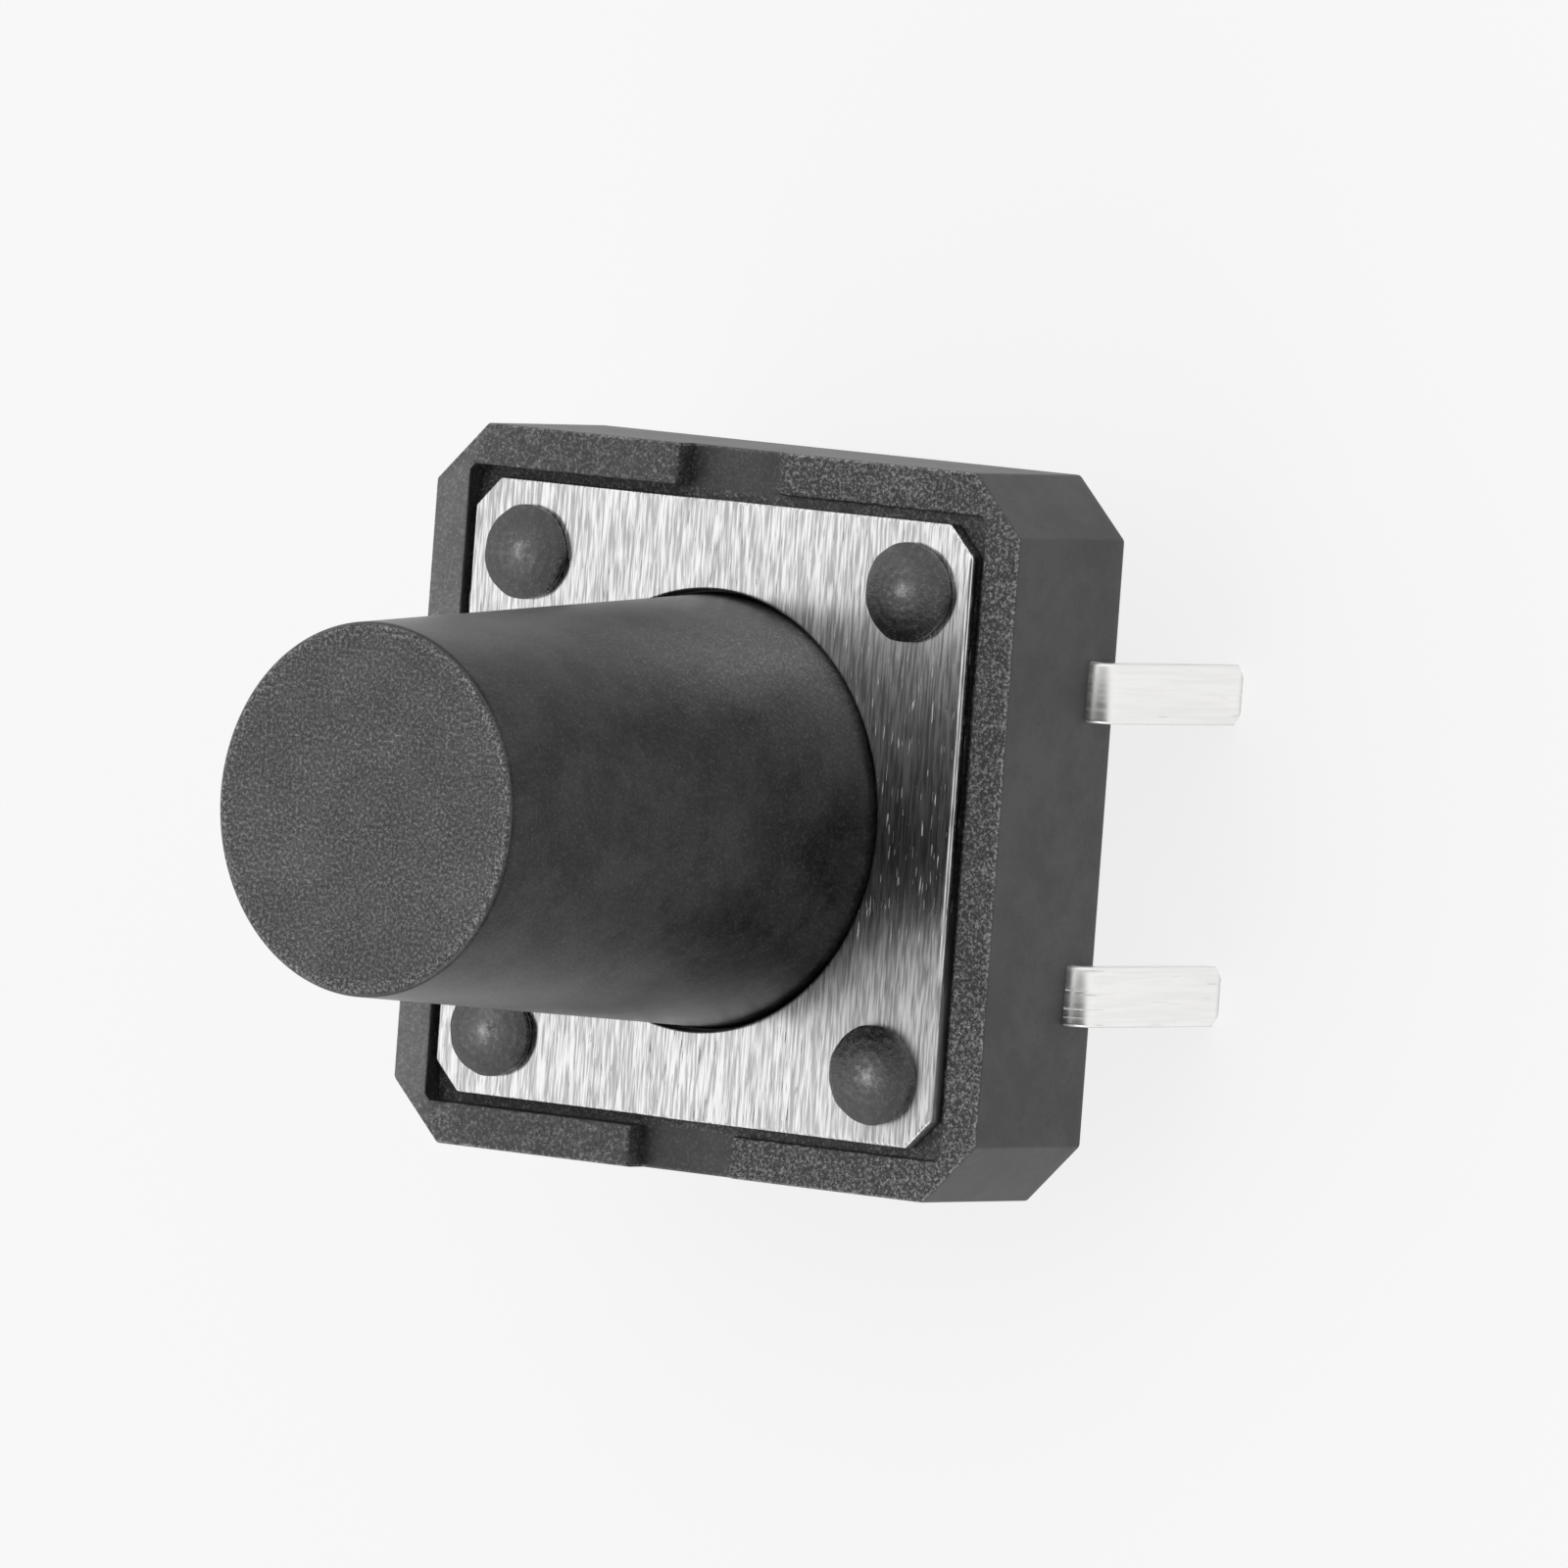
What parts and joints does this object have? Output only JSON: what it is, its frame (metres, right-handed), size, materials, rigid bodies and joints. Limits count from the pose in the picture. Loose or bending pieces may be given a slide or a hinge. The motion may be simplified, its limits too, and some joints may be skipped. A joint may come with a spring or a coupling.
{
  "type": "tactile push button switch",
  "caption": "Square through-hole tactile push button switch with a tall tapered round plunger, a brushed cover plate held by melted posts, and flat legs on two sides.",
  "frame": {"origin": "centre of the housing's flat underside, the face that sits on the circuit board", "axes": "+Z along the plunger, away from the board; +X and -X face the walls that the legs leave; the raised half of the rim is at -X"},
  "size_m": [0.0128, 0.012, 0.015],
  "materials": {
    "housing_plastic": "black glass-filled moulding, grained on top and smoother on the walls",
    "plunger_plastic": "black moulding, satin on the stem and grained on the tip",
    "brushed_plate": "stainless sheet brushed in one direction",
    "dome_steel": "bright spring sheet",
    "plated_terminal": "silver plated"
  },
  "bodies": {
    "base": {"housing": "housing_plastic", "cover_plate": "brushed_plate", "outer_terminal": "plated_terminal", "centre_terminal": "plated_terminal", "contact_dome": "dome_steel"},
    "button": {"plunger": "plunger_plastic"}
  },
  "joints": [
    {"name": "press", "type": "slide", "parent": "base", "child": "button", "axis": [0, 0, -1], "range_m": [0, 0.0003], "stiffness_N_per_m": 6000, "springref_m": -0.00005, "deforming": ["contact_dome"]}
  ]
}
